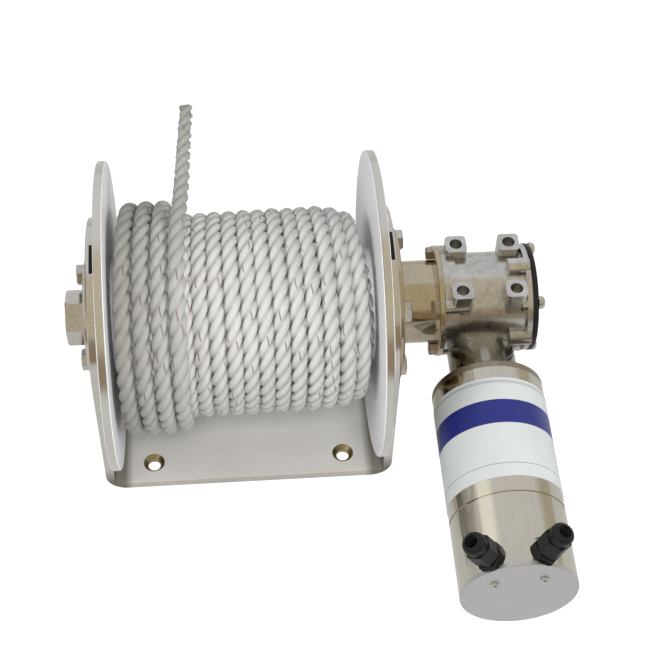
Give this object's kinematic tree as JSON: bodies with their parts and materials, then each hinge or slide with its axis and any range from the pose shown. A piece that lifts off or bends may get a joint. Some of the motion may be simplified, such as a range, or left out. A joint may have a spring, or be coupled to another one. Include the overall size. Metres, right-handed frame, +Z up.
{
  "type": "electric anchor windlass",
  "caption": "Electric drum anchor windlass: U bracket, rope-filled drum between two discs, worm gearbox on the right, motor lying to the front.",
  "frame": {"origin": "centre of the four base holes on the bracket's underside", "axes": "+X along the drum shaft towards the gearbox, +Y to the rear, away from the motor, +Z up"},
  "size_m": [0.3211, 0.3381, 0.219],
  "materials": {
    "satin_stainless": "satin, brushed",
    "polished_stainless": "polished",
    "cast_stainless": "cast and tumbled, satin",
    "bright_fastener": "bright",
    "turned_steel": "turned",
    "bearing_steel": "ground",
    "bronze": "machined",
    "copper": "varnished",
    "laminated_steel": "stacked",
    "magnet": "matt",
    "carbon": "matt",
    "holder_plastic": "matt",
    "gland_plastic": "gloss",
    "black_cover": "black, semi-gloss",
    "seal_rubber": "matt",
    "gasket_rubber": "matt",
    "white_label": "smooth",
    "white_rope": "laid, three strands"
  },
  "bodies": {
    "frame": {"adapter_screws": "bright_fastener", "base_bracket": "satin_stainless", "brush_holder": "holder_plastic", "brush_springs": "bright_fastener", "brushes": "carbon", "cover_gasket": "gasket_rubber", "end_cover_bolts": "bright_fastener", "end_plate_screws": "bright_fastener", "end_shaft_bush": "bronze", "field_magnets": "magnet", "gearbox_adapter": "satin_stainless", "gearbox_end_cover": "black_cover", "gearbox_housing": "cast_stainless", "left_bearing_housing": "satin_stainless", "left_flange_bolts": "bright_fastener", "left_gland_body": "gland_plastic", "left_gland_nut": "gland_plastic", "left_gland_seal": "seal_rubber", "left_shaft_bush": "bronze", "motor_adapter": "satin_stainless", "motor_can": "polished_stainless", "motor_end_bell": "polished_stainless", "motor_end_plate": "satin_stainless", "motor_front_bearing": "bearing_steel", "motor_label": "white_label", "motor_rear_bearing": "bearing_steel", "oil_plug": "bright_fastener", "right_flange_bolts": "bright_fastener", "right_gland_body": "gland_plastic", "right_gland_nut": "gland_plastic", "right_gland_seal": "seal_rubber", "right_shaft_bush": "bronze", "ring_flange_bolts": "bright_fastener", "rope_tail": "white_rope", "shaft_seal": "seal_rubber", "tunnel_screws": "bright_fastener", "worm_front_bearing": "bearing_steel", "worm_rear_bearing": "bearing_steel", "worm_seal": "seal_rubber"},
    "drum": {"main_shaft": "turned_steel", "shaft_keys": "turned_steel", "left_drum_disc": "polished_stainless", "right_drum_disc": "polished_stainless", "left_drum_hub": "turned_steel", "right_drum_hub": "turned_steel", "drum_disc_screws": "bright_fastener", "drum_core_tube": "satin_stainless", "rope_clamp": "turned_steel", "rope_clamp_screws": "bright_fastener", "crank_hexagon": "polished_stainless", "crank_hexagon_screw": "bright_fastener", "thrust_washers": "bronze", "rope_inner_layers": "white_rope", "rope_outer_layer": "white_rope", "worm_wheel": "bronze"},
    "armature": {"worm_shaft": "turned_steel", "motor_shaft": "turned_steel", "armature_core": "laminated_steel", "armature_winding": "copper", "commutator": "copper"}
  },
  "joints": [
    {"name": "drum_spin", "type": "hinge", "parent": "frame", "child": "drum", "pos_m": [0, 0, 0.114], "axis": [1, 0, 0], "continuous": true},
    {"name": "motor_spin", "type": "hinge", "parent": "frame", "child": "armature", "pos_m": [0.1625, 0, 0.0885], "axis": [0, 1, 0], "continuous": true}
  ],
  "couplings": [
    {"joint": "motor_spin", "follows": "drum_spin", "ratio": -30}
  ]
}
